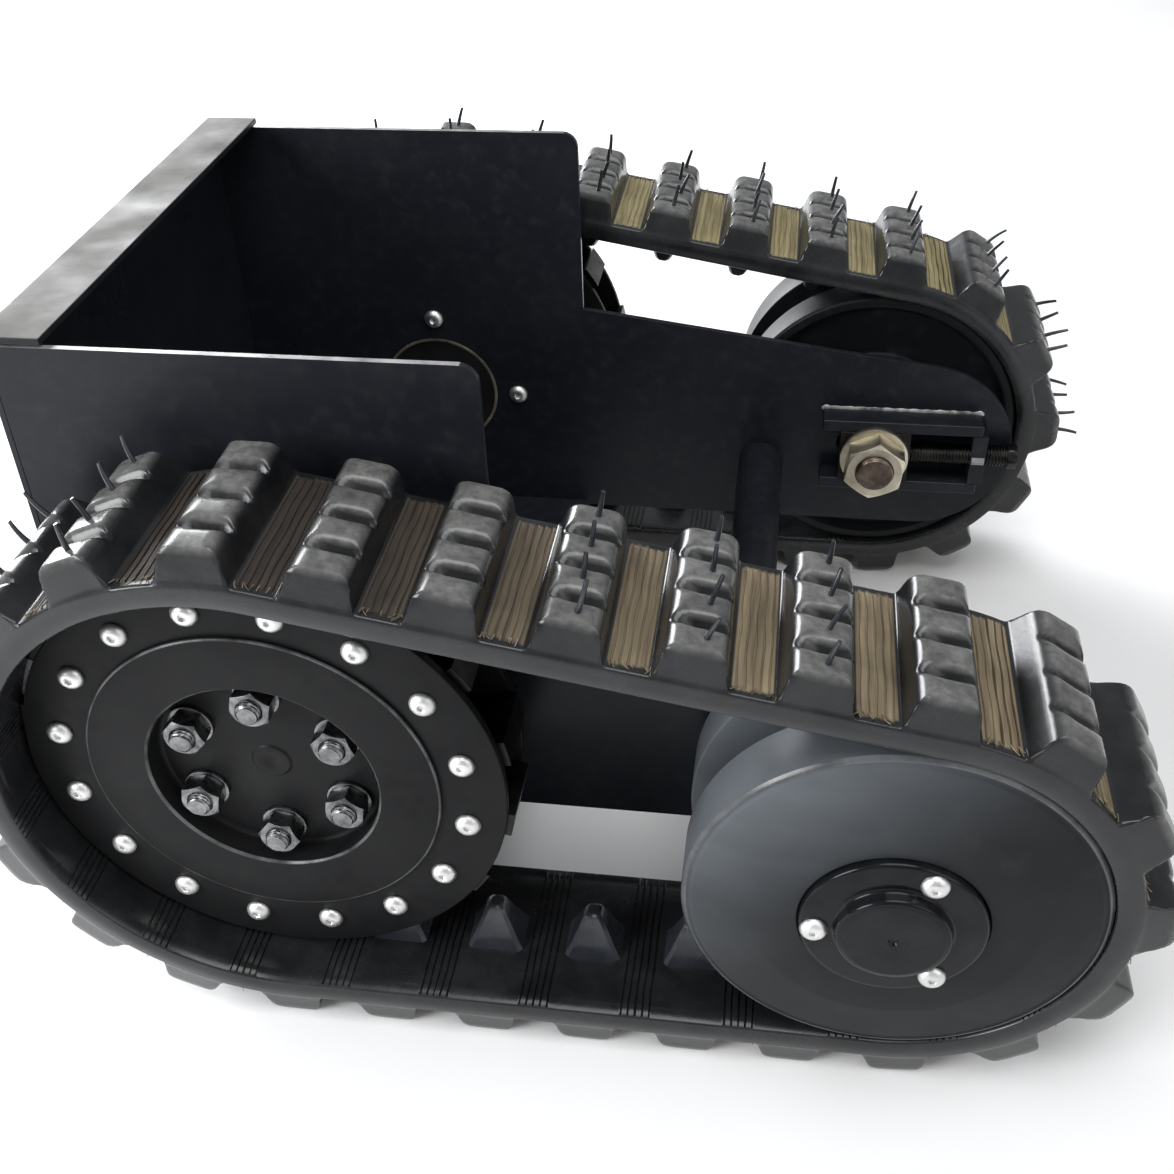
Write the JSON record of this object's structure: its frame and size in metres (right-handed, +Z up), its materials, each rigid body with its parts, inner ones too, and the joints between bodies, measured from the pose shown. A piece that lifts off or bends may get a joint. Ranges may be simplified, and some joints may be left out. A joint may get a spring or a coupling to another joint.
{
  "type": "tracked robot chassis",
  "caption": "Small tracked robot chassis: welded sheet frame, in-wheel gear motors, caged drive wheels, screw-tensioned idlers and lugged rubber tracks.",
  "frame": {"origin": "On the ground under the middle of the overall box", "axes": "+X runs from the drive wheels to the idlers, +Z is up, and Y runs across the tracks with mirror symmetry about Y = 0. The right side is -Y."},
  "size_m": [0.4742, 0.456, 0.2795],
  "materials": {
    "frame_paint": "gloss black paint on bent sheet",
    "wheel_black": "satin black coating",
    "motor_case": "black anodised",
    "track_rubber": "moulded rubber, tan between the lugs",
    "zinc_steel": "bright zinc plate",
    "dark_steel": "oiled dark steel",
    "bearing_steel": "ground and polished",
    "winding_copper": "lacquered winding",
    "idler_nylon": "dark grey cast nylon"
  },
  "bodies": {
    "chassis": {"end_panel": "frame_paint", "floor_plate": "frame_paint", "cross_tube": "frame_paint", "ring_gears": "dark_steel", "motor_stators": "winding_copper", "motor_bearings": "bearing_steel", "motor_screws": "zinc_steel", "tension_rails": "frame_paint", "tension_anchors": "frame_paint", "right_side_plate": "frame_paint", "right_motor_housing": "motor_case", "right_gear_cover": "motor_case", "right_track_belt": "track_rubber", "left_side_plate": "frame_paint", "left_motor_housing": "motor_case", "left_gear_cover": "motor_case", "left_track_belt": "track_rubber"},
    "right_drive_wheel": {"right_outer_disc": "wheel_black", "right_inner_disc": "wheel_black", "right_drive_hub": "wheel_black", "right_drive_bars": "dark_steel", "right_disc_screws": "zinc_steel", "right_hub_fasteners": "dark_steel", "right_planet_carrier": "dark_steel"},
    "right_rotor": {"right_motor_rotor": "dark_steel"},
    "right_planet_1": {"right_planet_gear_1": "dark_steel"},
    "right_planet_2": {"right_planet_gear_2": "dark_steel"},
    "right_planet_3": {"right_planet_gear_3": "dark_steel"},
    "right_tensioner": {"right_idler_axle": "zinc_steel", "right_axle_nuts": "zinc_steel", "right_tension_block": "dark_steel"},
    "right_idler": {"right_idler_outer_half": "idler_nylon", "right_idler_inner_half": "idler_nylon", "right_idler_hub": "idler_nylon", "right_idler_cap": "idler_nylon", "right_cap_screws": "zinc_steel", "right_idler_bearings": "bearing_steel"},
    "right_adjuster": {"right_tension_screw": "dark_steel"},
    "left_drive_wheel": {"left_outer_disc": "wheel_black", "left_inner_disc": "wheel_black", "left_drive_hub": "wheel_black", "left_drive_bars": "dark_steel", "left_disc_screws": "zinc_steel", "left_hub_fasteners": "dark_steel", "left_planet_carrier": "dark_steel"},
    "left_rotor": {"left_motor_rotor": "dark_steel"},
    "left_planet_1": {"left_planet_gear_1": "dark_steel"},
    "left_planet_2": {"left_planet_gear_2": "dark_steel"},
    "left_planet_3": {"left_planet_gear_3": "dark_steel"},
    "left_tensioner": {"left_idler_axle": "zinc_steel", "left_axle_nuts": "zinc_steel", "left_tension_block": "dark_steel"},
    "left_idler": {"left_idler_outer_half": "idler_nylon", "left_idler_inner_half": "idler_nylon", "left_idler_hub": "idler_nylon", "left_idler_cap": "idler_nylon", "left_cap_screws": "zinc_steel", "left_idler_bearings": "bearing_steel"},
    "left_adjuster": {"left_tension_screw": "dark_steel"}
  },
  "joints": [
    {"name": "right_drive_spin", "type": "hinge", "parent": "chassis", "child": "right_drive_wheel", "pos_m": [-0.112, -0.18, 0.125], "axis": [0, 1, 0], "continuous": true, "deforming": ["right_track_belt"]},
    {"name": "right_rotor_spin", "type": "hinge", "parent": "chassis", "child": "right_rotor", "pos_m": [-0.112, -0.14, 0.125], "axis": [0, 1, 0], "continuous": true},
    {"name": "right_planet_1_spin", "type": "hinge", "parent": "right_drive_wheel", "child": "right_planet_1", "pos_m": [-0.08275, -0.1505, 0.125], "axis": [0, 1, 0], "continuous": true},
    {"name": "right_planet_2_spin", "type": "hinge", "parent": "right_drive_wheel", "child": "right_planet_2", "pos_m": [-0.12662, -0.1505, 0.15033], "axis": [0, 1, 0], "continuous": true},
    {"name": "right_planet_3_spin", "type": "hinge", "parent": "right_drive_wheel", "child": "right_planet_3", "pos_m": [-0.12662, -0.1505, 0.09967], "axis": [0, 1, 0], "continuous": true},
    {"name": "right_tension_slide", "type": "slide", "parent": "chassis", "child": "right_tensioner", "axis": [1, 0, 0], "range_m": [-0.01, 0.004], "deforming": ["right_track_belt"]},
    {"name": "right_idler_spin", "type": "hinge", "parent": "right_tensioner", "child": "right_idler", "pos_m": [0.134, -0.18, 0.103], "axis": [0, 1, 0], "continuous": true},
    {"name": "right_adjuster_turn", "type": "hinge", "parent": "right_tensioner", "child": "right_adjuster", "pos_m": [0.16, -0.115, 0.103], "axis": [1, 0, 0], "range_deg": [-2058, 824]},
    {"name": "left_drive_spin", "type": "hinge", "parent": "chassis", "child": "left_drive_wheel", "pos_m": [-0.112, 0.18, 0.125], "axis": [0, 1, 0], "continuous": true, "deforming": ["left_track_belt"]},
    {"name": "left_rotor_spin", "type": "hinge", "parent": "chassis", "child": "left_rotor", "pos_m": [-0.112, 0.14, 0.125], "axis": [0, 1, 0], "continuous": true},
    {"name": "left_planet_1_spin", "type": "hinge", "parent": "left_drive_wheel", "child": "left_planet_1", "pos_m": [-0.08275, 0.1505, 0.125], "axis": [0, 1, 0], "continuous": true},
    {"name": "left_planet_2_spin", "type": "hinge", "parent": "left_drive_wheel", "child": "left_planet_2", "pos_m": [-0.12662, 0.1505, 0.15033], "axis": [0, 1, 0], "continuous": true},
    {"name": "left_planet_3_spin", "type": "hinge", "parent": "left_drive_wheel", "child": "left_planet_3", "pos_m": [-0.12662, 0.1505, 0.09967], "axis": [0, 1, 0], "continuous": true},
    {"name": "left_tension_slide", "type": "slide", "parent": "chassis", "child": "left_tensioner", "axis": [1, 0, 0], "range_m": [-0.01, 0.004], "deforming": ["left_track_belt"]},
    {"name": "left_idler_spin", "type": "hinge", "parent": "left_tensioner", "child": "left_idler", "pos_m": [0.134, 0.18, 0.103], "axis": [0, 1, 0], "continuous": true},
    {"name": "left_adjuster_turn", "type": "hinge", "parent": "left_tensioner", "child": "left_adjuster", "pos_m": [0.16, 0.115, 0.103], "axis": [1, 0, 0], "range_deg": [-2058, 824]}
  ],
  "couplings": [
    {"joint": "right_rotor_spin", "follows": "right_drive_spin", "ratio": 4.3333},
    {"joint": "right_planet_1_spin", "follows": "right_drive_spin", "ratio": -2.8571},
    {"joint": "right_planet_2_spin", "follows": "right_drive_spin", "ratio": -2.8571},
    {"joint": "right_planet_3_spin", "follows": "right_drive_spin", "ratio": -2.8571},
    {"joint": "right_idler_spin", "follows": "right_drive_spin", "ratio": 1.2538},
    {"joint": "right_adjuster_turn", "follows": "right_tension_slide", "rad_per_m": 3590.4},
    {"joint": "left_rotor_spin", "follows": "left_drive_spin", "ratio": 4.3333},
    {"joint": "left_planet_1_spin", "follows": "left_drive_spin", "ratio": -2.8571},
    {"joint": "left_planet_2_spin", "follows": "left_drive_spin", "ratio": -2.8571},
    {"joint": "left_planet_3_spin", "follows": "left_drive_spin", "ratio": -2.8571},
    {"joint": "left_idler_spin", "follows": "left_drive_spin", "ratio": 1.2538},
    {"joint": "left_adjuster_turn", "follows": "left_tension_slide", "rad_per_m": 3590.4}
  ]
}
